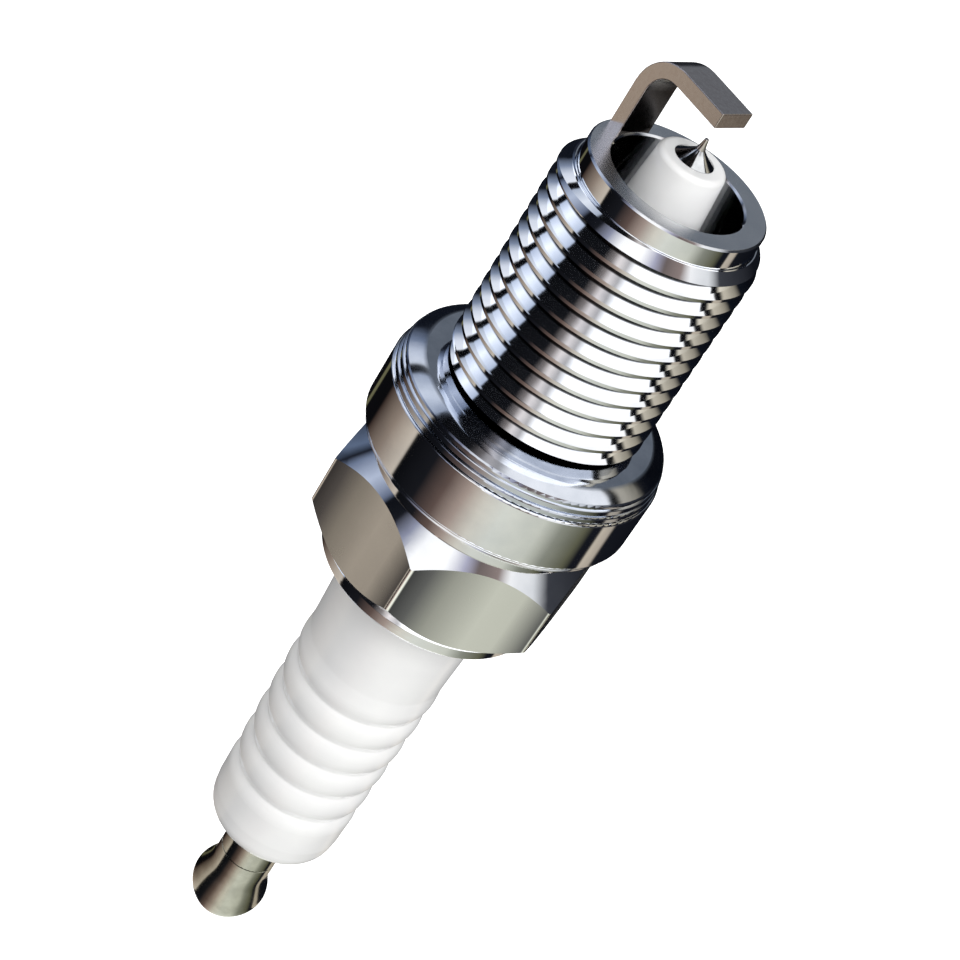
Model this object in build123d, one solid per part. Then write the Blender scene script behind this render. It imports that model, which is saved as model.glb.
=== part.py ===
from build123d import *
import os
from math import cos, radians, sqrt, tan

# Spark plug for a motorcycle engine, with a gasket seat, a hexagon and a fine-wire centre electrode.
# Millimetres. +Z runs along the plug's axis towards the firing end, and Z = 0 is the shell's seat
# face, where the gasket sits. Names ending in _z are heights above that face, so they are negative
# on the terminal side. Names ending in _r are radii, _h heights along Z and _t thicknesses.

# ---- threads ----
thread_d = 14.0                 # shell thread, M14 x 1.25
thread_pitch = 1.25
thread_phase = 137.5            # where the thread starts round the axis, degrees
terminal_thread_d = 3.0         # terminal thread, M3 x 0.5
terminal_thread_pitch = 0.5
thread_depth_ratio = 0.6134     # ISO external thread depth, as a share of the pitch
crest_ratio = 0.18              # width of the rolled crest, as a share of the pitch
allowance = 0.03                # how far an external crest lies inside its nominal radius

# ---- shell, firing end ----
reach = 19.5                    # seat face to the front ring
nose_ring_h = 1.45              # plain cylinder in front of the thread
nose_ring_step = 0.15           # front ring inside the thread's root
nose_wall = 1.55                # front ring, outside to bore
edge_break = 0.12               # small chamfer on turned edges
relief_step = 0.05              # undercut behind the thread, inside its root

# ---- shell, collar, hexagon and crimp ----
collar_step = 2.55              # collar beyond the thread's nominal radius
collar_h = 3.95
bead_h = 0.28                   # each of the two fine beads under the collar
bead_step = 0.14                # how far each bead steps in
neck_h = 1.1
neck_step = 0.5                 # neck inside the hexagon's flats
neck_round = 0.2                # collar's underside into the neck
underside_fall = 0.25           # slope of the collar's underside
hex_across_flats = 17.0
hex_h = 7.5                     # neck to crimp, over both chamfers
hex_chamfer_angle = 47.0        # from the horizontal
hex_corner_r = 0.25             # rounding of the upright edges
hex_turn = 24.3                 # one corner's angle from +X
crimp_step = 0.55               # crimp inside the hexagon's flats
crimp_h = 1.25
crimp_round = 0.85

# ---- shell, inside ----
thread_wall = 1.25              # thread's root to the bore inside it
ledge_w = 1.0                   # how far the ledge stands into the bore
ledge_z = 6.3                   # ledge cone where it leaves the middle bore
ledge_h = 1.0                   # straight land of the ledge
ledge_angle = 30.0              # ledge cone, from the horizontal
hex_wall = 2.2                  # hexagon's flats to the bore inside them
step_z = -1.2                   # step between middle bore and body bore
step_h = 0.8
step_w = 0.6                    # least step between those two bores

# ---- insulator ----
wall_clearance = 0.1            # insulator to shell bores
nose_projection = 1.85          # ceramic nose beyond the front ring
nose_tip_r = 2.25
nose_clearance = 0.55           # nose's root to the ledge's bore
nose_round = 0.4
flange_back_z = -8.6
flange_round = 0.2
head_root_round = 0.1           # head into the flange's back
chamber_w = 0.9                 # packing chamber between head and shell
head_taper = 0.32               # crimp to the first rib, on the radius
head_end_round = 1.5
rib_rise = 0.1                  # first rib over the head's end
rib_rise_h = 1.2
rib_rise_round = 1.5
rib_taper = 0.26                # first rib to the last, on the radius
groove_depth = 0.36
groove_half_w = 0.75
groove_round = 2.0              # ribs are rounded all the way across
groove_root_round = 0.2
groove_pitch = 2.63
groove_count = 5
first_groove_z = -24.85
last_rib_h = 3.3                # last groove to the taper at the end
last_rib_round = 1.0
end_taper = 0.25                # last rib to the end, on the radius
insulator_end_z = -41.0
end_round_share = 0.62          # end rounding, as a share of the wall there
core_bore_r = 2.1               # bore for stud, seals and resistor
core_step_z = 2.9               # where the bore narrows to the centre electrode

# ---- packings and powder ----
packing_t = 0.35                # sheet packing on the ledge
packing_w = 0.7
ring_clearance = 0.01           # wire rings to both walls

# ---- electrodes ----
electrode_r = 1.3
electrode_clearance = 0.03
electrode_head_r = 1.8
electrode_head_h = 1.0
electrode_boss_r = 0.95
electrode_boss_h = 0.9
electrode_tip_h = 1.55          # end of the ceramic to the needle's point
needle_h = 0.8
needle_root_r = 0.3
needle_tip_r = 0.12
needle_waist = 0.38             # where the needle narrows, as a share of its height
needle_waist_round = 1.0
needle_tip_round = 0.1
cone_waist_r = 0.6              # middle of the electrode's hollow cone, as a share of its radius
cone_waist_h = 0.45             # and as a share of its height
copper_r = 0.7
copper_start = 0.8              # copper core starts this far from the head's face
copper_end = 3.0                # and stops this far from the end of the ceramic
spark_gap = 1.5
strap_w = 2.7
strap_t = 1.05
strap_leg_inset = 0.12          # inner face of the leg to the front ring's bore
strap_overhang = 0.9            # past the axis
strap_bend_r = 1.7              # inside radius of the bend
strap_turn = 147.0              # the leg's angle from +X
strap_edge_r = 0.07

# ---- seals, resistor and terminal ----
lower_seal_h = 2.9
resistor_h = 8.5
upper_seal_h = 3.0
stud_r = 1.95
stud_tip_r = 1.55
stud_tip_h = 1.6
stud_groove_depth = 0.2
stud_groove_h = 0.3
stud_collar_r = 3.15            # flared collar that covers the ceramic's bore
stud_collar_edge_h = 0.4
stud_flare_h = 1.5              # ceramic to the foot of the flare
stud_collar_h = 3.4             # ceramic to the nut's seat
stud_thread_h = 4.8             # threaded length beyond the collar
waist_r = 2.16                  # collar and nut meet on this radius
nut_gap = 0.02                  # nut's face to the collar
nut_bore_clearance = 0.05       # nut's plain bore to the thread's crest
nut_neck_h = 1.2
seam_round = 0.1                # collar's edge above the nut
nut_shoulder_r = 2.5            # where the neck's curve has become the ball
nut_ball_r = 2.8
nut_h = 6.3
nut_belly = 0.57                # the ball is widest at this share of the nut's height
nut_flat_r = 1.15
nut_neck_lean = (0, -1)         # the outline where it leaves the neck
nut_end_lean = (-1, -0.55)      # and where it meets the flat end
nut_bore_end = 0.3              # free depth beyond the stud's end

# ---- gasket ----
gasket_h = 1.95
gasket_rim_step = 0.15          # gasket's rim inside the collar's
gasket_grip = 0.45              # how far the gasket's bore is smaller than the thread's crest
gasket_flat_w = 0.9             # flat top, from the bore to the dome
gasket_shoulder_w = 0.9         # dome's shoulder, in from the rim
gasket_fold_h = 0.5             # each of the two folded edges
gasket_fold_step = 0.12
gasket_fold_round = (0.05, 0.1)  # the two folded edges' roundings
gasket_side_h = 0.3             # upright side above the folds
gasket_side_round = 0.25
gasket_shoulder_drop = 0.2      # dome's shoulder below the flat top
gasket_shoulder_round = 2.4
gasket_flat_round = 3.0
gasket_rest = 0.01              # gasket's face above the seat
gasket_play = 0.3               # how far the loose gasket slides
gasket_stop = 0.05              # left to the thread's run-out at the end of that slide


# ---- sizes worked out from those above ----
thread_r = thread_d / 2 - allowance
thread_root_r = thread_r - thread_depth_ratio * thread_pitch
terminal_thread_r = terminal_thread_d / 2 - allowance
terminal_root_r = terminal_thread_r - thread_depth_ratio * terminal_thread_pitch
thread_top_z = reach - nose_ring_h
nose_ring_r = thread_root_r - nose_ring_step
nose_bore_r = nose_ring_r - nose_wall
relief_r = thread_root_r - relief_step
collar_r = thread_d / 2 + collar_step
gasket_in_r = thread_r - gasket_grip
gasket_top_z = gasket_rest + gasket_h
thread_low_z = gasket_top_z + gasket_play + gasket_stop - (gasket_in_r - thread_root_r)
bead_low_z = -collar_h - 2 * bead_h
flat_r = hex_across_flats / 2
neck_r = flat_r - neck_step
crimp_r = flat_r - crimp_step
body_bore_r = flat_r - hex_wall
mid_bore_r = min(thread_root_r - thread_wall, body_bore_r - step_w)
ledge_bore_r = mid_bore_r - ledge_w
underside_z = bead_low_z - (collar_r - neck_r) * underside_fall
hex_top_z = underside_z - neck_h
hex_low_z = hex_top_z - hex_h
crimp_low_z = hex_low_z - crimp_h
hex_slope = tan(radians(hex_chamfer_angle))
mid_r = mid_bore_r - wall_clearance
flange_r = body_bore_r - wall_clearance
head_r = body_bore_r - chamber_w
head_end_r = head_r - head_taper
rib_r = head_end_r + rib_rise
rib_end_r = rib_r - rib_taper
insulator_end_r = rib_end_r - end_taper
nose_tip_z = reach + nose_projection
strap_top_z = nose_tip_z + electrode_tip_h + spark_gap + strap_t
chamber_low_z = hex_low_z
wire_r = chamber_w / 2 - ring_clearance
wire_centre_r = (body_bore_r + head_r) / 2
resistor_top_z = core_step_z - lower_seal_h
resistor_low_z = resistor_top_z - resistor_h
upper_seal_low_z = resistor_low_z - upper_seal_h
stud_seat_z = insulator_end_z - stud_collar_h
stud_end_z = stud_seat_z - stud_thread_h


def ledge_height(radius, drop=0.0):
    """Height of the shell's ledge cone at a radius, lowered by drop."""
    return ledge_z + (mid_bore_r - radius) * tan(radians(ledge_angle)) - drop


def turned(*corners):
    """Solid of revolution round Z. A corner is (radius, height) or (radius, height, rounding)."""
    points = [(corner[0], 0, corner[1]) for corner in corners]
    roundings = [corner[2] if len(corner) > 2 else 0 for corner in corners]
    outline = FilletPolyline(*points, radius=roundings, close=True)
    return revolve(make_face(outline), Axis.Z)


def screw_thread(crest_r, root_r, pitch, low_z, top_z, phase):
    """External thread between two heights, faded out at both ends by 45 degree cones."""
    sunk = 0.06 * pitch
    depth = crest_r - root_r
    crest = crest_ratio * pitch / 2
    base = crest + (depth + sunk) * tan(radians(30))
    helix = Pos(0, 0, low_z - pitch) * Rot(0, 0, phase) * Helix(pitch, top_z - low_z + 2 * pitch, root_r)
    section = Plane(origin=helix @ 0, x_dir=Vector((helix @ 0).X, (helix @ 0).Y, 0), z_dir=helix % 0)
    ridge = Polyline((-sunk, -base), (depth, -crest), (depth, crest), (-sunk, base), close=True)
    clear = depth + sunk
    envelope = turned((0, low_z), (root_r, low_z), (root_r + clear, low_z + clear),
                      (root_r + clear, top_z - clear), (root_r, top_z), (0, top_z))
    return sweep(section * make_face(ridge), path=helix, is_frenet=True) & envelope


def hexagon():
    flats = RegularPolygon(flat_r, 6, major_radius=False)
    rounded = fillet(flats.vertices(), hex_corner_r)
    prism = Pos(0, 0, hex_low_z) * Rot(0, 0, hex_turn) * extrude(rounded, hex_h)
    widest = flat_r / cos(radians(30))
    drop = (widest - neck_r) * hex_slope
    chamfers = turned((0, hex_top_z), (neck_r, hex_top_z), (widest, hex_top_z - drop),
                      (widest, hex_low_z + drop), (neck_r, hex_low_z), (0, hex_low_z))
    return prism & chamfers


def shell():
    bead_r = collar_r - bead_step
    outside = turned(
        (0, reach), (nose_ring_r - edge_break, reach), (nose_ring_r, reach - edge_break),
        (nose_ring_r, thread_top_z), (thread_root_r, thread_top_z - (thread_root_r - nose_ring_r)),
        (thread_root_r, thread_low_z), (relief_r, thread_low_z - (thread_root_r - relief_r)),
        (relief_r, 0), (collar_r, 0, edge_break), (collar_r, -collar_h, edge_break),
        (bead_r - bead_step, -collar_h), (bead_r, -collar_h - bead_h / 2, bead_h / 4),
        (bead_r - bead_step, -collar_h - bead_h),
        (bead_r - bead_step / 2, bead_low_z + bead_h / 2, bead_h / 4),
        (bead_r - 2 * bead_step, bead_low_z), (neck_r, underside_z, neck_round), (neck_r, hex_low_z),
        (crimp_r, hex_low_z), (crimp_r, crimp_low_z, crimp_round), (0, crimp_low_z))
    lip_r = head_r + wall_clearance
    inside = turned(
        (0, reach), (nose_bore_r + edge_break, reach), (nose_bore_r, reach - edge_break),
        (nose_bore_r, ledge_height(ledge_bore_r) + ledge_h + nose_bore_r - ledge_bore_r),
        (ledge_bore_r, ledge_height(ledge_bore_r) + ledge_h),
        (ledge_bore_r, ledge_height(ledge_bore_r)), (mid_bore_r, ledge_z), (mid_bore_r, step_z),
        (body_bore_r, step_z - step_h), (body_bore_r, chamber_low_z),
        (lip_r, chamber_low_z), (lip_r, crimp_low_z), (0, crimp_low_z))
    thread = screw_thread(thread_r, thread_root_r, thread_pitch, thread_low_z, thread_top_z, thread_phase)
    return outside + thread + hexagon() - inside


def ribs():
    """Outline of the insulator's ribs, from the head's end towards the terminal."""
    corners = []
    for k in range(groove_count):
        groove_z = first_groove_z - k * groove_pitch
        crest_r = rib_r + (rib_end_r - rib_r) * k / groove_count
        corners += [(crest_r, groove_z + groove_half_w, groove_round),
                    (crest_r - groove_depth, groove_z, groove_root_round),
                    (crest_r, groove_z - groove_half_w, groove_round)]
    return corners


def insulator():
    shoulder_r = ledge_bore_r - nose_clearance
    last_z = first_groove_z - (groove_count - 1) * groove_pitch - last_rib_h
    bore_r = electrode_r + electrode_clearance
    head_end_z = first_groove_z + groove_pitch
    end_round = end_round_share * (insulator_end_r - core_bore_r)
    return turned(
        (bore_r, nose_tip_z), (nose_tip_r, nose_tip_z, nose_round),
        (shoulder_r, ledge_height(shoulder_r, packing_t)), (mid_r, ledge_height(mid_r, packing_t)),
        (mid_r, step_z - 2 * wall_clearance), (flange_r, step_z - step_h - 2 * wall_clearance),
        (flange_r, flange_back_z, flange_round), (head_r, flange_back_z, head_root_round),
        (head_r, crimp_low_z), (head_end_r, head_end_z, head_end_round),
        (rib_r, head_end_z - rib_rise_h, rib_rise_round), *ribs(),
        (rib_end_r, last_z, last_rib_round), (insulator_end_r, insulator_end_z, end_round),
        (core_bore_r, insulator_end_z), (core_bore_r, core_step_z), (bore_r, core_step_z))


def seat_packing():
    outer_r = mid_r
    inner_r = outer_r - packing_w
    return turned((inner_r, ledge_height(inner_r)), (outer_r, ledge_height(outer_r)),
                  (outer_r, ledge_height(outer_r, packing_t)), (inner_r, ledge_height(inner_r, packing_t)))


def wire_ring(centre_z):
    return revolve(Plane.XZ * Pos(wire_centre_r, centre_z) * Circle(wire_r), Axis.Z)


def talc_filling():
    return turned((head_r, flange_back_z - 2 * wire_r), (body_bore_r, flange_back_z - 2 * wire_r),
                  (body_bore_r, chamber_low_z + 2 * wire_r), (head_r, chamber_low_z + 2 * wire_r))


def centre_electrode():
    cone_z = nose_tip_z + electrode_tip_h - needle_h
    head_low_z = core_step_z - electrode_head_h
    core_top_z = nose_tip_z - copper_end
    waist = (electrode_r * cone_waist_r, nose_tip_z + (cone_z - nose_tip_z) * cone_waist_h)
    half = Plane.XZ * make_face([
        Polyline((0, cone_z), (0, core_top_z), (copper_r, core_top_z),
                 (copper_r, head_low_z + copper_start), (0, head_low_z + copper_start),
                 (0, head_low_z - electrode_boss_h), (electrode_boss_r, head_low_z - electrode_boss_h),
                 (electrode_boss_r, head_low_z), (electrode_head_r, head_low_z),
                 (electrode_head_r, core_step_z), (electrode_r, core_step_z), (electrode_r, nose_tip_z)),
        ThreePointArc((electrode_r, nose_tip_z), waist, (needle_root_r, cone_z)),
        Line((needle_root_r, cone_z), (0, cone_z))])
    return revolve(half, Axis.Z)


def copper_core():
    low_z = core_step_z - electrode_head_h + copper_start
    return turned((0, low_z), (copper_r, low_z), (copper_r, nose_tip_z - copper_end),
                  (0, nose_tip_z - copper_end))


def electrode_needle():
    point_z = nose_tip_z + electrode_tip_h
    waist = (needle_root_r + needle_tip_r) / 2
    return turned((0, point_z - needle_h), (needle_root_r, point_z - needle_h),
                  (waist, point_z - (1 - needle_waist) * needle_h, needle_waist_round),
                  (needle_tip_r, point_z, needle_tip_round), (0, point_z))


def ground_electrode():
    strap_leg_r = nose_bore_r + strap_leg_inset
    leg_out = strap_leg_r + strap_t
    strap_low_z = strap_top_z - strap_t
    side = FilletPolyline(
        (leg_out, reach), (leg_out, strap_top_z), (-strap_overhang, strap_top_z),
        (-strap_overhang, strap_low_z), (strap_leg_r, strap_low_z), (strap_leg_r, reach),
        radius=[0, strap_bend_r + strap_t, 0, 0, strap_bend_r, 0], close=True)
    strap = extrude(Plane.XZ * make_face(side), strap_w / 2, both=True)
    above_weld = [edge for edge in strap.edges() if edge.bounding_box().max.Z > reach + strap_edge_r]
    return Rot(0, 0, strap_turn) * fillet(above_weld, strap_edge_r)


def lower_seal():
    head_low_z = core_step_z - electrode_head_h
    boss_low_z = head_low_z - electrode_boss_h
    return turned((0, resistor_top_z), (core_bore_r, resistor_top_z), (core_bore_r, core_step_z),
                  (electrode_head_r, core_step_z), (electrode_head_r, head_low_z),
                  (electrode_boss_r, head_low_z), (electrode_boss_r, boss_low_z), (0, boss_low_z))


def resistor():
    return turned((0, resistor_low_z), (core_bore_r, resistor_low_z),
                  (core_bore_r, resistor_top_z), (0, resistor_top_z))


def stud_tip():
    """Outline of the stud's grooved tip inside the upper seal, from its shoulder to its end."""
    corners = []
    for k in range(2):
        groove_z = upper_seal_low_z + stud_groove_h * (1 + 2 * k)
        groove_r = stud_tip_r - stud_groove_depth
        corners += [(stud_tip_r, groove_z), (groove_r, groove_z),
                    (groove_r, groove_z + stud_groove_h), (stud_tip_r, groove_z + stud_groove_h)]
    return corners + [(stud_tip_r, upper_seal_low_z + stud_tip_h), (0, upper_seal_low_z + stud_tip_h)]


def upper_seal():
    return turned((stud_tip_r, upper_seal_low_z), *stud_tip(), (0, resistor_low_z),
                  (core_bore_r, resistor_low_z), (core_bore_r, upper_seal_low_z))


def terminal_stud():
    shank = turned((0, stud_end_z), (terminal_root_r, stud_end_z), (terminal_root_r, stud_seat_z),
                   (waist_r, stud_seat_z, seam_round),
                   (waist_r, insulator_end_z - stud_flare_h, stud_flare_h),
                   (stud_collar_r, insulator_end_z - stud_collar_edge_h), (stud_collar_r, insulator_end_z),
                   (stud_r, insulator_end_z), (stud_r, upper_seal_low_z),
                   (stud_tip_r, upper_seal_low_z), *stud_tip())
    thread = screw_thread(terminal_thread_r, terminal_root_r, terminal_thread_pitch,
                          stud_end_z, stud_seat_z, 0)
    return shank + thread


def terminal_nut():
    top_z = stud_seat_z - nut_gap
    neck_z = top_z - nut_neck_h
    low_z = top_z - nut_h
    bore_r = terminal_thread_r + nut_bore_clearance
    bore_low_z = stud_end_z - nut_bore_end
    neck = Polyline((0, bore_low_z), (bore_r, bore_low_z), (bore_r, top_z),
                    (waist_r, top_z), (waist_r, neck_z))
    belly = (nut_ball_r, top_z - nut_belly * nut_h)
    shoulder = (nut_shoulder_r, belly[1] + sqrt(nut_ball_r ** 2 - nut_shoulder_r ** 2))
    ball = Spline((waist_r, neck_z), shoulder, belly, (nut_flat_r, low_z),
                  tangents=[nut_neck_lean, nut_end_lean])
    end = Polyline((nut_flat_r, low_z), (0, low_z), (0, bore_low_z))
    return revolve(Plane.XZ * make_face([*neck.edges(), *ball.edges(), *end.edges()]), Axis.Z)


def gasket():
    """Folded washer: flat face on the seat, two folded edges round the rim and a domed top."""
    rim_r = collar_r - gasket_rim_step
    fold_r = rim_r - gasket_fold_step
    dome_r = fold_r - gasket_fold_step
    first_z = gasket_rest + gasket_fold_h
    second_z = first_z + gasket_fold_h
    lower_round, upper_round = gasket_fold_round
    return turned(
        (gasket_in_r, gasket_rest, edge_break), (rim_r, gasket_rest, edge_break),
        (rim_r, first_z, edge_break), (dome_r, first_z),
        (fold_r, first_z + gasket_fold_step, lower_round), (fold_r, second_z, upper_round),
        (dome_r, second_z), (dome_r, second_z + gasket_side_h, gasket_side_round),
        (rim_r - gasket_shoulder_w, gasket_top_z - gasket_shoulder_drop, gasket_shoulder_round),
        (gasket_in_r + gasket_flat_w, gasket_top_z, gasket_flat_round),
        (gasket_in_r, gasket_top_z, edge_break))


pieces = {
    "metal_shell": shell,
    "ground_electrode": ground_electrode,
    "insulator": insulator,
    "seat_packing": seat_packing,
    "lower_packing_ring": lambda: wire_ring(flange_back_z - wire_r),
    "talc_filling": talc_filling,
    "upper_packing_ring": lambda: wire_ring(chamber_low_z + wire_r),
    "centre_electrode": centre_electrode,
    "electrode_copper_core": copper_core,
    "electrode_needle": electrode_needle,
    "lower_glass_seal": lower_seal,
    "resistor_element": resistor,
    "upper_glass_seal": upper_seal,
    "terminal_stud": terminal_stud,
    "terminal_nut": terminal_nut,
    "sealing_gasket": gasket,
}

os.makedirs("parts", exist_ok=True)
for node, make in pieces.items():
    export_step(make(), f"parts/{node}.step")
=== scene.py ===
from math import cos, pi, radians, sin

import bpy
from mathutils import Matrix, Vector


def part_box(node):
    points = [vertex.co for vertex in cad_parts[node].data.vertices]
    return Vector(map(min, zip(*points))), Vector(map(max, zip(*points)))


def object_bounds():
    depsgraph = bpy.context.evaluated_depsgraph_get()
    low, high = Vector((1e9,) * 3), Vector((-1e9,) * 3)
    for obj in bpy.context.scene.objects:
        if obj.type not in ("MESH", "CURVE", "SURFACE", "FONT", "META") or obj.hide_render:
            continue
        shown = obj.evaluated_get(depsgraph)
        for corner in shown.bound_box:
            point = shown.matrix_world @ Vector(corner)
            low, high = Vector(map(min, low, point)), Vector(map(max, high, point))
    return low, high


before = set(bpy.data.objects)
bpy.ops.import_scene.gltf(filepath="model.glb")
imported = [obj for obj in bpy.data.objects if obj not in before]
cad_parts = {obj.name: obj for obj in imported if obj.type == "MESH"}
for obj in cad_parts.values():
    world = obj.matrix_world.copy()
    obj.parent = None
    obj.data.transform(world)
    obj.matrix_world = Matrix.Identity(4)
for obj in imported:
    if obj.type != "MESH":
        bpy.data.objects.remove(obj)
cad_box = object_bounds()

MM = 0.001  # one millimetre in metres

# heights along the plug, in metres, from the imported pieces
SHELL_LOW, SHELL_TOP = (corner[2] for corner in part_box("metal_shell"))

# the shell's stretches, each from its own length
CRIMP_LENGTH = 1.25 * MM
HEX_LENGTH = 7.5 * MM
HEX_LOW = SHELL_LOW + CRIMP_LENGTH
HEX_TOP = HEX_LOW + HEX_LENGTH
HEX_TURN = 24.3      # one corner's angle round the axis, in degrees
HEX_CORNERS = 6
THREAD_TOP = SHELL_TOP - 2.0 * MM
ROOT_RADIUS = 6.2 * MM
ROOT_SHADE_REACH = 0.12 * MM        # how far the painted shade reaches out of a root
BORE_FROM = 0.1 * MM        # inside the roots by this much and the next, it is the bore and not a root
BORE_TO = 0.3 * MM

# where one finish turns into the next along the plug
FINISH_EDGE = 0.1 * MM
FRONT_FACE_DEPTH = 0.06 * MM
UPRIGHT, SLOPING = 0.25, 0.35   # how far an upright face's normal, and a chamfer's, rises

# Painted reflection across each flat, from one corner to the next, the same on all six: painted highlight
# lines at the corners, and a painted gradient between them in place of what a satin flat mirrors.
HEX_FLAT_PAINTED_REFLECTION = [
    (0.0, "FFFFFF"), (0.012, "FFFFFF"), (0.02, "46464A"), (0.12, "66666A"), (0.28, "A6A6A4"),
    (0.60, "D6D6D4"), (0.80, "D2D2D0"), (0.92, "9A9A9A"), (0.98, "66666A"), (0.988, "FFFFFF"),
    (1.0, "FFFFFF"),
]


# ---- small helpers ----

def linear(hex_colour):
    """An sRGB hex colour as the linear RGBA that shaders take."""
    channels = [int(hex_colour[place:place + 2], 16) / 255 for place in (0, 2, 4)]
    return (*(c / 12.92 if c <= 0.04045 else ((c + 0.055) / 1.055) ** 2.4 for c in channels), 1)


def add(tree, kind, inputs=None, stops=None, **settings):
    """Adds a node, sets its settings, and sets or links each named input."""
    node = tree.nodes.new(kind)
    for name, value in settings.items():
        setattr(node, name, value)
    for name, value in (inputs or {}).items():
        if isinstance(value, bpy.types.NodeSocket):
            tree.links.new(value, node.inputs[name])
        else:
            node.inputs[name].default_value = value
    if stops:
        elements = node.color_ramp.elements
        while len(elements) < len(stops):
            elements.new(0.5)
        for element, (place, colour) in zip(elements, stops):
            element.position = place
            element.color = linear(colour)
    return node


def finish_of(name, **shader_values):
    """A new material with a Principled shader, its uniform values set on the shader's own sockets."""
    material = bpy.data.materials.new(name)
    material.use_nodes = True
    shader = material.node_tree.nodes["Principled BSDF"]
    for socket, value in shader_values.items():
        shader.inputs[socket.replace("_", " ").title().replace("Ior", "IOR")].default_value = value
    return material, material.node_tree, shader


def give(node, material):
    """The CAD piece takes this material in every slot it has."""
    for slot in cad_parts[node].material_slots:
        slot.material = material


def per(millimetres):
    """A texture scale for features of this size, with coordinates in metres."""
    return 1 / (millimetres * MM)


# ---- camera ----

def place_camera(target, distance, elevation, roll, lens):
    """A camera in front of the plug, above it, and rolled so that the plug leans in the frame."""
    back = Vector((0, -cos(radians(elevation)), sin(radians(elevation))))
    turn = Matrix.Rotation(radians(90 - elevation), 4, "X") @ Matrix.Rotation(radians(roll), 4, "Z")
    camera = bpy.data.objects.new("camera", bpy.data.cameras.new("camera"))
    camera.data.lens = lens
    camera.data.sensor_width = 36
    camera.data.clip_start = 0.01
    camera.matrix_world = Matrix.Translation(Vector(target) + back * distance) @ turn
    bpy.context.collection.objects.link(camera)
    bpy.context.scene.camera = camera


place_camera(target=(-0.4 * MM, 0, -6.03 * MM), distance=166.5 * MM, elevation=34.08, roll=32.73, lens=96.5)
bpy.context.scene.view_settings.view_transform = "Standard"


# ---- floor ----

FLOOR_SIZE = 6.0
FLOOR_DROP = 60 * MM  # the plug hangs in its mount, clear of the floor


def pale_floor():
    """Opal acrylic light table: white, lit faintly from below, so nothing on it casts a hard shadow."""
    material, tree, shader = finish_of("opal_acrylic", roughness=0.9, emission_color=(1, 1, 1, 1),
                                       emission_strength=0.6)
    where = add(tree, "ShaderNodeTexCoord").outputs["Object"]
    mottle = add(tree, "ShaderNodeTexNoise", {"Vector": where, "Scale": per(40), "Detail": 2})
    tone = add(tree, "ShaderNodeValToRGB", {"Fac": mottle.outputs["Fac"]},
               stops=[(0.3, "FAFAFA"), (0.7, "FCFCFC")])
    tree.links.new(tone.outputs["Color"], shader.inputs["Base Color"])
    return material


def add_floor(height):
    half = FLOOR_SIZE / 2
    mesh = bpy.data.meshes.new("floor")
    corners = [(-half, -half, height), (half, -half, height), (half, half, height), (-half, half, height)]
    mesh.from_pydata(corners, [], [(0, 1, 2, 3)])
    mesh.materials.append(pale_floor())
    floor = bpy.data.objects.new("floor", mesh)
    floor.visible_glossy = False
    floor.visible_diffuse = False
    bpy.context.collection.objects.link(floor)


add_floor(cad_box[0][2] - FLOOR_DROP)


# ---- light ----

# The white, grey, black and tinted cards that stand round the plug, seen by mirror-like surfaces
# only. Each is placed by the side of the plug that mirrors it, in degrees from the front with the
# right positive. Upright walls mirror the low cards, chamfers and domes the middle ones, and steep
# flanks the high ones. They are laid out for one fixed direction, SIGHT_ELEVATION above the front,
# and stay still when the camera moves, so from behind the metal is mostly dark.
LOW_CARDS = [
    (-90, "060608"), (-76, "0A0A0C"), (-75, "5E5C44"), (-72, "5E5C44"), (-71, "0A0A0C"), (-60, "0A0A0C"),
    (-58, "40342E"), (-46, "8A7C70"), (-34, "C0B6A8"), (-33, "0A0B0E"), (-21, "17181C"), (-12, "5E4E48"),
    (-4, "A09086"), (4, "CCC8BC"), (12, "D2D4CA"), (28, "C2C4B8"), (36, "84867A"),
    (46, "5A5A48"), (50, "14161C"), (54, "14161C"), (55, "B8AE9E"), (60, "A89E90"), (62, "14161C"),
    (90, "080A10"),
]
MIDDLE_CARDS = [
    (-90, "20242E"), (-70, "5A6880"), (-64, "12141C"), (-60, "6C7890"), (-48, "B4BED2"), (-36, "6A748A"),
    (-33, "0C0E14"), (-24, "14161C"), (-16, "8C90A4"), (-8, "FFFFFF"), (4, "FFFFFF"), (12, "A8A8BC"),
    (18, "6A605E"), (28, "8A7C78"), (34, "F4F4F4"), (46, "D8DADC"), (54, "3A3C42"), (90, "101218"),
]
HIGH_CARDS = [
    (-90, "10141C"), (-80, "7C889E"), (-72, "D4DAE6"), (-64, "E8ECF4"), (-63, "06070A"), (-58, "06070A"),
    (-57, "AAB4C6"), (-46, "E0E6F0"), (-34, "A4AEC0"), (-33, "0A0B0D"), (-13, "101114"), (-8, "6E6866"),
    (-4, "C6C0BE"), (1, "9A9898"), (6, "FFFFFF"), (54, "FFFFFF"), (55, "08090C"), (59, "08090C"),
    (62, "BDB6A6"), (72, "8E887A"), (77, "0C1018"), (90, "080A10"),
]
BACK_WALL = "666C74"    # flat grey, mirrored by faces that look almost straight up
SIGHT_ELEVATION = 34    # degrees
# the lean, in degrees, at which each set of cards starts to show and at which it is all that shows
MIDDLE_LEAN = (20, 28)
HIGH_LEAN = (50, 54)
WALL_LEAN = (72, 76)
ONE_BOUNCE, TWO_BOUNCES = 1.2, 1.8   # between the first and the second mirroring
MIRROR_STRENGTH = 1.5
GROOVE_STRENGTH = 2.9   # two bounces lose light, so the cards are brighter for them
EVEN_STRENGTH = 0.55
SEEN_STRENGTH = 1
WHITE = (1, 1, 1, 1)


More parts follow.
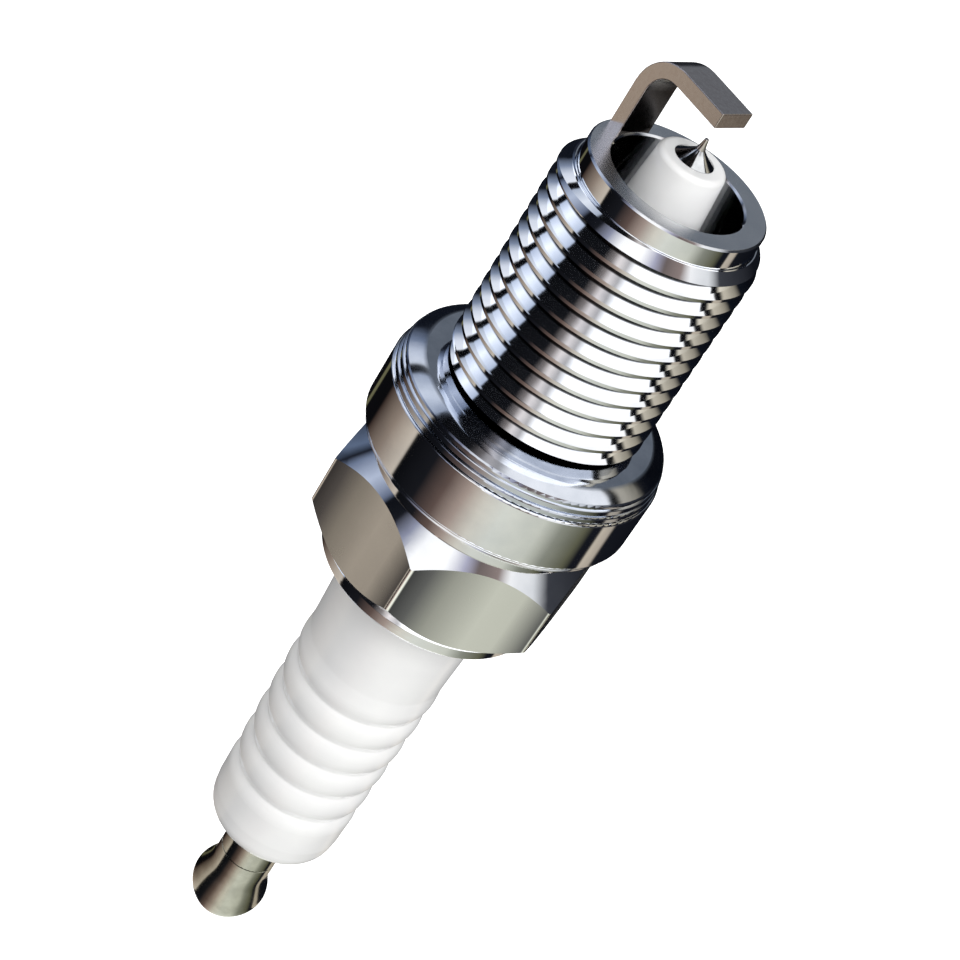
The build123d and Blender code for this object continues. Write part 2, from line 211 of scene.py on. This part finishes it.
def light_studio():
    """White light everywhere, and the cards for mirror-like surfaces."""
    world = bpy.data.worlds.new("studio")
    world.use_nodes = True
    tree = world.node_tree
    tree.nodes.clear()
    sight = (0, cos(radians(SIGHT_ELEVATION)), -sin(radians(SIGHT_ELEVATION)))
    where = add(tree, "ShaderNodeTexCoord").outputs["Generated"]
    ray = add(tree, "ShaderNodeLightPath").outputs
    # how a surface faces that mirrors this direction: its turn round the plug, and its lean
    apart = add(tree, "ShaderNodeVectorMath", {0: where, 1: sight}, operation="SUBTRACT")
    faces = add(tree, "ShaderNodeVectorMath", {0: apart.outputs[0]}, operation="NORMALIZE")
    part = add(tree, "ShaderNodeSeparateXYZ", {"Vector": faces.outputs[0]})
    ahead = add(tree, "ShaderNodeMath", {0: part.outputs["Y"], 1: -1}, operation="MULTIPLY")
    angle = add(tree, "ShaderNodeMath", {0: part.outputs["X"], 1: ahead.outputs[0]}, operation="ARCTAN2")
    turn = add(tree, "ShaderNodeMapRange", {
        "Value": angle.outputs[0], "From Min": -pi / 2, "From Max": pi / 2,
    })
    rings = []
    for cards in (LOW_CARDS, MIDDLE_CARDS, HIGH_CARDS):
        stops = [((degrees + 90) / 180, colour) for degrees, colour in cards]
        ring = add(tree, "ShaderNodeValToRGB", {"Fac": turn.outputs["Result"]}, stops=stops)
        rings.append(ring.outputs["Color"])
    low, middle, high = rings
    # each set of cards takes over from the one below it as the surface leans back, and light that
    # has bounced inside a groove comes from the high cards
    lean = part.outputs["Z"]
    depth = ray["Glossy Depth"]
    shown = low
    for cards, source, start, end in (
        (middle, lean, *(sin(radians(degrees)) for degrees in MIDDLE_LEAN)),
        (high, lean, *(sin(radians(degrees)) for degrees in HIGH_LEAN)),
        (linear(BACK_WALL), lean, *(sin(radians(degrees)) for degrees in WALL_LEAN)),
        (high, depth, ONE_BOUNCE, TWO_BOUNCES),
    ):
        share = add(tree, "ShaderNodeMapRange", {"Value": source, "From Min": start, "From Max": end})
        mix = add(tree, "ShaderNodeMix", {"Factor": share.outputs["Result"], 6: shown, 7: cards},
                  data_type="RGBA")
        shown = mix.outputs[2]
    power = add(tree, "ShaderNodeMapRange", {
        "Value": depth, "From Min": ONE_BOUNCE, "From Max": TWO_BOUNCES,
        "To Min": MIRROR_STRENGTH, "To Max": GROOVE_STRENGTH,
    })
    mirrored = add(tree, "ShaderNodeBackground", {"Color": shown, "Strength": power.outputs["Result"]})
    even = add(tree, "ShaderNodeBackground", {"Color": WHITE, "Strength": EVEN_STRENGTH})
    seen = add(tree, "ShaderNodeBackground", {"Color": WHITE, "Strength": SEEN_STRENGTH})
    unseen = add(tree, "ShaderNodeMixShader", {
        0: ray["Is Glossy Ray"], 1: even.outputs[0], 2: mirrored.outputs[0],
    })
    all_rays = add(tree, "ShaderNodeMixShader", {
        0: ray["Is Camera Ray"], 1: unseen.outputs[0], 2: seen.outputs[0],
    })
    add(tree, "ShaderNodeOutputWorld", {"Surface": all_rays.outputs[0]})
    bpy.context.scene.world = world


def soft_box(name, azimuth, elevation, distance, size, power):
    """A square soft box that points at the plug's middle, and shows in no mirror."""
    data = bpy.data.lights.new(name, "AREA")
    data.size = size
    data.energy = power
    box = bpy.data.objects.new(name, data)
    flat = cos(radians(elevation))
    direction = Vector((
        sin(radians(azimuth)) * flat, -cos(radians(azimuth)) * flat, sin(radians(elevation)),
    ))
    box.location = direction * distance
    box.rotation_euler = direction.to_track_quat("Z", "Y").to_euler()
    box.visible_glossy = False
    bpy.context.collection.objects.link(box)


light_studio()
soft_box("key_softbox", azimuth=35, elevation=40, distance=0.8, size=0.5, power=4.6)
soft_box("back_softbox", azimuth=-145, elevation=30, distance=0.9, size=0.6, power=3.0)


# ---- materials ----

def plated_shell():
    """Nickel-chrome plated steel, turned and cold formed: mirror bright on the thread and the collar,
    satin on the hexagon's flats and the front face, with fine rings from the tool, a painted reflection
    and painted highlight lines on the flats, and painted shade in the thread's roots."""
    material, tree, shader = finish_of("nickel_chrome_plated_steel", metallic=1)
    where = add(tree, "ShaderNodeTexCoord").outputs["Object"]
    part = add(tree, "ShaderNodeSeparateXYZ", {"Vector": where})
    height = part.outputs["Z"]
    normal = add(tree, "ShaderNodeNewGeometry").outputs["Normal"]
    facing = add(tree, "ShaderNodeSeparateXYZ", {"Vector": normal})
    # hexagon flats: between the hexagon's ends, where the surface is upright
    above = add(tree, "ShaderNodeMapRange", {
        "Value": height, "From Min": HEX_LOW - FINISH_EDGE, "From Max": HEX_LOW,
    })
    below = add(tree, "ShaderNodeMapRange", {
        "Value": height, "From Min": HEX_TOP + FINISH_EDGE, "From Max": HEX_TOP,
    })
    between = add(tree, "ShaderNodeMath", {0: above.outputs[0], 1: below.outputs[0]}, operation="MULTIPLY")
    slope = add(tree, "ShaderNodeMath", {0: facing.outputs["Z"]}, operation="ABSOLUTE")
    upright = add(tree, "ShaderNodeMapRange", {
        "Value": slope.outputs[0], "From Min": SLOPING, "From Max": UPRIGHT,
    })
    flats = add(tree, "ShaderNodeMath", {0: between.outputs[0], 1: upright.outputs[0]},
                operation="MULTIPLY")
    front = add(tree, "ShaderNodeMapRange", {
        "Value": height, "From Min": SHELL_TOP - FRONT_FACE_DEPTH, "From Max": SHELL_TOP,
    })
    satin = add(tree, "ShaderNodeMath", {0: flats.outputs[0], 1: front.outputs[0]}, operation="MAXIMUM")
    # across each flat: 0 at one corner, 1 at the next
    turn = add(tree, "ShaderNodeMath", {0: part.outputs["Y"], 1: part.outputs["X"]}, operation="ARCTAN2")
    sixths = add(tree, "ShaderNodeMath", {
        0: turn.outputs[0], 1: HEX_CORNERS / (2 * pi), 2: -HEX_TURN * HEX_CORNERS / 360,
    }, operation="MULTIPLY_ADD")
    across = add(tree, "ShaderNodeMath", {0: sixths.outputs[0], 1: 1, 2: 0}, operation="WRAP")
    # painted reflection and painted highlight lines, laid across each flat
    flat_painted_reflection = add(tree, "ShaderNodeValToRGB", {"Fac": across.outputs[0]}, stops=HEX_FLAT_PAINTED_REFLECTION)
    # tool rings at a 0.12 mm feed: a finer feed would not show
    feed = add(tree, "ShaderNodeMath", {0: height, 1: per(0.12)}, operation="MULTIPLY")
    rings = add(tree, "ShaderNodeTexNoise", {"W": feed.outputs[0], "Scale": 1, "Detail": 1},
                noise_dimensions="1D")
    # handling and plating blotches, about 2 mm across
    blotch = add(tree, "ShaderNodeTexNoise", {"Vector": where, "Scale": per(2), "Detail": 3})
    gloss = add(tree, "ShaderNodeMapRange", {
        "Value": satin.outputs[0], "To Min": 0.03, "To Max": 0.24,
    })
    uneven = add(tree, "ShaderNodeMath", {0: blotch.outputs["Fac"], 1: 0.05, 2: gloss.outputs[0]},
                 operation="MULTIPLY_ADD")
    shade = add(tree, "ShaderNodeValToRGB", {"Fac": blotch.outputs["Fac"]},
                stops=[(0.3, "CDCFD3"), (0.7, "DADBDD")])
    bump = add(tree, "ShaderNodeBump", {
        "Strength": 0.08, "Distance": 0.01 * MM, "Height": rings.outputs["Fac"],
    })
    # the hexagon's flats take the painted reflection, the rest of the shell its blotched plate
    tone = add(tree, "ShaderNodeMix", {
        "Factor": flats.outputs[0], 6: shade.outputs["Color"], 7: flat_painted_reflection.outputs["Color"],
    }, data_type="RGBA")
    # painted shade: the thread's roots are painted dark, for the dark line between the flanks
    level = add(tree, "ShaderNodeVectorMath", {0: where, 1: (1, 1, 0)}, operation="MULTIPLY")
    radius = add(tree, "ShaderNodeVectorMath", {0: level.outputs[0]}, operation="LENGTH")
    root = add(tree, "ShaderNodeMapRange", {
        "Value": radius.outputs["Value"], "From Min": ROOT_RADIUS, "From Max": ROOT_RADIUS + ROOT_SHADE_REACH,
    })
    unthreaded = add(tree, "ShaderNodeMapRange", {
        "Value": height, "From Min": THREAD_TOP, "From Max": THREAD_TOP + FINISH_EDGE,
    })
    bore = add(tree, "ShaderNodeMapRange", {
        "Value": radius.outputs["Value"],
        "From Min": ROOT_RADIUS - BORE_FROM, "From Max": ROOT_RADIUS - BORE_TO,
    })
    plain = add(tree, "ShaderNodeMath", {0: bore.outputs[0], 1: unthreaded.outputs[0]},
                operation="MAXIMUM")
    outside_root_shade = add(tree, "ShaderNodeMath", {0: root.outputs[0], 1: plain.outputs[0]}, operation="MAXIMUM")
    root_painted_shade = add(tree, "ShaderNodeMix", {
        "Factor": outside_root_shade.outputs[0], 6: linear("2A2B2E"), 7: tone.outputs[2],
    }, data_type="RGBA")
    tree.links.new(root_painted_shade.outputs[2], shader.inputs["Base Color"])
    tree.links.new(uneven.outputs[0], shader.inputs["Roughness"])
    tree.links.new(bump.outputs["Normal"], shader.inputs["Normal"])
    return material


INNER_SHADE_STARTS, INNER_SHADE_FULL = 0.4, 0.75   # how squarely a face of the strap looks at the electrode, where shade is painted on


def bent_nickel():
    """Nickel alloy strap, drawn, bent and welded on: satin and a little brown, with a fine grain,
    and painted shade on the faces that turn to the electrode or down."""
    material, tree, shader = finish_of("drawn_nickel_alloy", metallic=1)
    where = add(tree, "ShaderNodeTexCoord").outputs["Object"]
    grain = add(tree, "ShaderNodeTexNoise", {"Vector": where, "Scale": per(0.25), "Detail": 4})
    shade = add(tree, "ShaderNodeValToRGB", {"Fac": grain.outputs["Fac"]},
                stops=[(0.3, "BAB0AC"), (0.7, "C8C0BC")])
    # painted shade: a face turned to the electrode, towards the axis or down, is painted dark
    normal = add(tree, "ShaderNodeNewGeometry").outputs["Normal"]
    level = add(tree, "ShaderNodeVectorMath", {0: where, 1: (1, 1, 0)}, operation="MULTIPLY")
    outward = add(tree, "ShaderNodeVectorMath", {0: level.outputs[0]}, operation="NORMALIZE")
    away = add(tree, "ShaderNodeVectorMath", {0: outward.outputs[0], 1: normal}, operation="DOT_PRODUCT")
    up = add(tree, "ShaderNodeSeparateXYZ", {"Vector": normal})
    least = add(tree, "ShaderNodeMath", {0: away.outputs["Value"], 1: up.outputs["Z"]},
                operation="MINIMUM")
    inner_painted_shade = add(tree, "ShaderNodeMapRange", {
        "Value": least.outputs[0], "From Min": -INNER_SHADE_STARTS, "From Max": -INNER_SHADE_FULL,
    })
    strap_with_painted_shade = add(tree, "ShaderNodeMix", {
        "Factor": inner_painted_shade.outputs["Result"], 6: shade.outputs["Color"], 7: linear("2E2A2A"),
    }, data_type="RGBA")
    gloss = add(tree, "ShaderNodeMapRange", {
        "Value": grain.outputs["Fac"], "To Min": 0.16, "To Max": 0.26,
    })
    bump = add(tree, "ShaderNodeBump", {
        "Strength": 0.08, "Distance": 0.01 * MM, "Height": grain.outputs["Fac"],
    })
    tree.links.new(strap_with_painted_shade.outputs[2], shader.inputs["Base Color"])
    tree.links.new(gloss.outputs[0], shader.inputs["Roughness"])
    tree.links.new(bump.outputs["Normal"], shader.inputs["Normal"])
    return material


def glazed_alumina():
    """Pressed and fired alumina under a clear glaze: white, smooth, with a soft gloss and very fine
    specks."""
    material, tree, shader = finish_of("glazed_alumina", coat_weight=0.4, coat_roughness=0.12, ior=1.6)
    where = add(tree, "ShaderNodeTexCoord").outputs["Object"]
    body = add(tree, "ShaderNodeTexNoise", {"Vector": where, "Scale": per(3), "Detail": 3})
    specks = add(tree, "ShaderNodeTexNoise", {"Vector": where, "Scale": per(0.15), "Detail": 1})
    tone = add(tree, "ShaderNodeValToRGB", {"Fac": body.outputs["Fac"]},
               stops=[(0.3, "F4F4F4"), (0.7, "FAFAF9")])
    gloss = add(tree, "ShaderNodeMapRange", {
        "Value": specks.outputs["Fac"], "To Min": 0.30, "To Max": 0.42,
    })
    bump = add(tree, "ShaderNodeBump", {
        "Strength": 0.06, "Distance": 0.02 * MM, "Height": body.outputs["Fac"],
    })
    tree.links.new(tone.outputs["Color"], shader.inputs["Base Color"])
    tree.links.new(gloss.outputs[0], shader.inputs["Roughness"])
    tree.links.new(bump.outputs["Normal"], shader.inputs["Normal"])
    return material


def fine_metal(name, dark, light, rough_low, rough_high, grain):
    """A metal whose shade and gloss vary a little with its grain, given in millimetres."""
    material, tree, shader = finish_of(name, metallic=1)
    where = add(tree, "ShaderNodeTexCoord").outputs["Object"]
    noise = add(tree, "ShaderNodeTexNoise", {"Vector": where, "Scale": per(grain), "Detail": 3})
    shade = add(tree, "ShaderNodeValToRGB", {"Fac": noise.outputs["Fac"]},
                stops=[(0.3, dark), (0.7, light)])
    gloss = add(tree, "ShaderNodeMapRange", {
        "Value": noise.outputs["Fac"], "To Min": rough_low, "To Max": rough_high,
    })
    tree.links.new(shade.outputs["Color"], shader.inputs["Base Color"])
    tree.links.new(gloss.outputs[0], shader.inputs["Roughness"])
    return material


def packed_powder(name, dark, light, rough, grain):
    """A dull pressed or fused filling, speckled at its grain, given in millimetres."""
    material, tree, shader = finish_of(name, roughness=rough)
    where = add(tree, "ShaderNodeTexCoord").outputs["Object"]
    noise = add(tree, "ShaderNodeTexNoise", {"Vector": where, "Scale": per(grain), "Detail": 5})
    shade = add(tree, "ShaderNodeValToRGB", {"Fac": noise.outputs["Fac"]},
                stops=[(0.35, dark), (0.65, light)])
    bump = add(tree, "ShaderNodeBump", {
        "Strength": 0.3, "Distance": 0.02 * MM, "Height": noise.outputs["Fac"],
    })
    tree.links.new(shade.outputs["Color"], shader.inputs["Base Color"])
    tree.links.new(bump.outputs["Normal"], shader.inputs["Normal"])
    return material


give("metal_shell", plated_shell())
give("ground_electrode", bent_nickel())
give("insulator", glazed_alumina())
# folded steel sheet under bright zinc: near-mirror and a little blue
give("sealing_gasket", fine_metal("zinc_plated_gasket_steel", "B0B5BE", "C2C6CE", 0.06, 0.12, 1.5))
# turned steel under bright nickel: a warm grey mirror
give("terminal_stud", fine_metal("nickel_plated_stud_steel", "AEAEA6", "C2C2BA", 0.08, 0.16, 1.0))
# the same plate on the nut, dulled a little by the plug cap's clip
give("terminal_nut", fine_metal("nickel_plated_nut_steel", "B0B0A8", "C6C6BE", 0.10, 0.18, 1.0))
# ground noble-metal wire: pale, with a soft shine along the grinding
give("electrode_needle", fine_metal("ground_iridium", "B8B4B2", "C8C4C2", 0.14, 0.22, 0.2))
# nickel alloy, turned to a hollow cone and polished: a small clear mirror
give("centre_electrode", fine_metal("polished_nickel_electrode", "BCBEC0", "D0D2D4", 0.06, 0.12, 0.6))
# soft steel sheet, stamped: dull grey
give("seat_packing", fine_metal("stamped_packing_steel", "8A8C90", "9C9EA2", 0.3, 0.42, 0.5))
# drawn steel wire, bent to rings and flattened a little in use: dull grey
give("lower_packing_ring", fine_metal("rolled_ring_wire", "85878B", "989A9E", 0.3, 0.42, 0.5))
give("upper_packing_ring", fine_metal("rolled_wire_ring", "85878B", "989A9E", 0.3, 0.42, 0.5))
# drawn copper rod: red-brown, half bright
give("electrode_copper_core", fine_metal("drawn_copper", "B66A48", "C67A56", 0.2, 0.32, 0.4))
# talc powder pressed hard: chalky off-white
give("talc_filling", packed_powder("pressed_talc", "D6D4CA", "E6E4DC", 0.85, 0.3))
# copper and glass powder fused in place: dark reddish brown, slightly glassy
give("lower_glass_seal", packed_powder("copper_glass_seal", "6A4436", "86604E", 0.4, 0.2))
give("upper_glass_seal", packed_powder("fused_copper_glass", "6E4838", "8A6450", 0.4, 0.2))
# carbon, glass and ceramic powder fused to a rod: black and grainy
give("resistor_element", packed_powder("carbon_resistor_mix", "1E1E20", "34343A", 0.7, 0.2))
